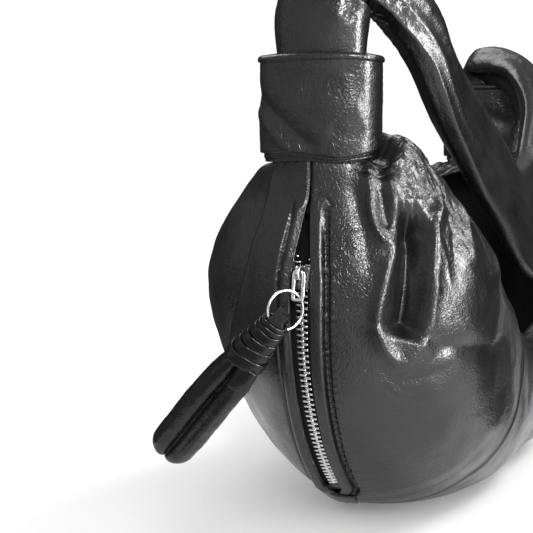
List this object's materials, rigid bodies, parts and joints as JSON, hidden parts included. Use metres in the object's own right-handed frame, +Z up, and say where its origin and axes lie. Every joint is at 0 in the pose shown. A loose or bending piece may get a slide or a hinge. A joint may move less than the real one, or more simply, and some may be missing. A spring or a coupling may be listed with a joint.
{
  "type": "hobo bag",
  "caption": "Slouchy crescent hobo bag in soft leather, with a zip down one end, a ring and knotted leather puller, and a soft strap gathered into wide cuffs.",
  "frame": {"origin": "on the bottom of the bag, under its middle, on the leather that it stands on", "axes": "+X along the bag from the zip end to the far end, -Y towards the front, +Z up"},
  "size_m": [0.3211, 0.1412, 0.2466],
  "materials": {
    "leather": "glossy crinkled",
    "leather_puller": "glossy, raw edges",
    "lining": "woven",
    "zip_tape": "woven twill",
    "zip_metal": "polished nickel",
    "snap_metal": "satin nickel"
  },
  "bodies": {
    "bag": {"back_centre_panel": "leather", "back_facing": "leather", "back_far_panel": "leather", "back_near_panel": "leather", "far_cuff": "leather", "far_cuff_band": "leather", "front_centre_panel": "leather", "front_facing": "leather", "front_far_panel": "leather", "front_near_panel": "leather", "lining": "lining", "near_cuff": "leather", "near_cuff_band": "leather", "seam_tab": "leather", "snap_socket": "snap_metal", "snap_socket_washer": "snap_metal", "snap_stud": "snap_metal", "snap_stud_washer": "snap_metal", "strap_far_end": "leather", "strap_near_end": "leather", "zip_bottom_stop": "zip_metal", "zip_tape_back": "zip_tape", "zip_tape_front": "zip_tape", "zip_teeth_back": "zip_metal", "zip_teeth_front": "zip_metal", "zip_top_stop_back": "zip_metal", "zip_top_stop_front": "zip_metal"},
    "slider": {"slider_body": "zip_metal", "slider_bridge": "zip_metal"},
    "pull_tab": {"pull_tab": "zip_metal"},
    "puller": {"pull_ring": "zip_metal", "puller_loop": "leather_puller", "puller_hitch": "leather_puller", "puller_wrap": "leather_puller", "puller_lace_end": "leather_puller"},
    "strap": {"strap_span": "leather"}
  },
  "joints": [
    {"name": "zip_travel", "type": "hinge", "parent": "bag", "child": "slider", "pos_m": [-0.04, 0, 0.1], "axis": [0, 1, 0], "range_deg": [-49, 7]},
    {"name": "tab_flip", "type": "hinge", "parent": "slider", "child": "pull_tab", "pos_m": [-0.15388, 0, 0.11681], "axis": [0, 1, 0], "range_deg": [0, 120]},
    {"name": "puller_turn", "type": "hinge", "parent": "pull_tab", "child": "puller", "pos_m": [-0.15961, 0.00363, 0.10169], "axis": [0.6259, 0.7799, 0], "range_deg": [0, 60]},
    {"name": "strap_swing", "type": "hinge", "parent": "bag", "child": "strap", "pos_m": [-0.127, 0, 0.23], "axis": [-0.9946, 0, 0.1041], "range_deg": [0, 150]}
  ]
}
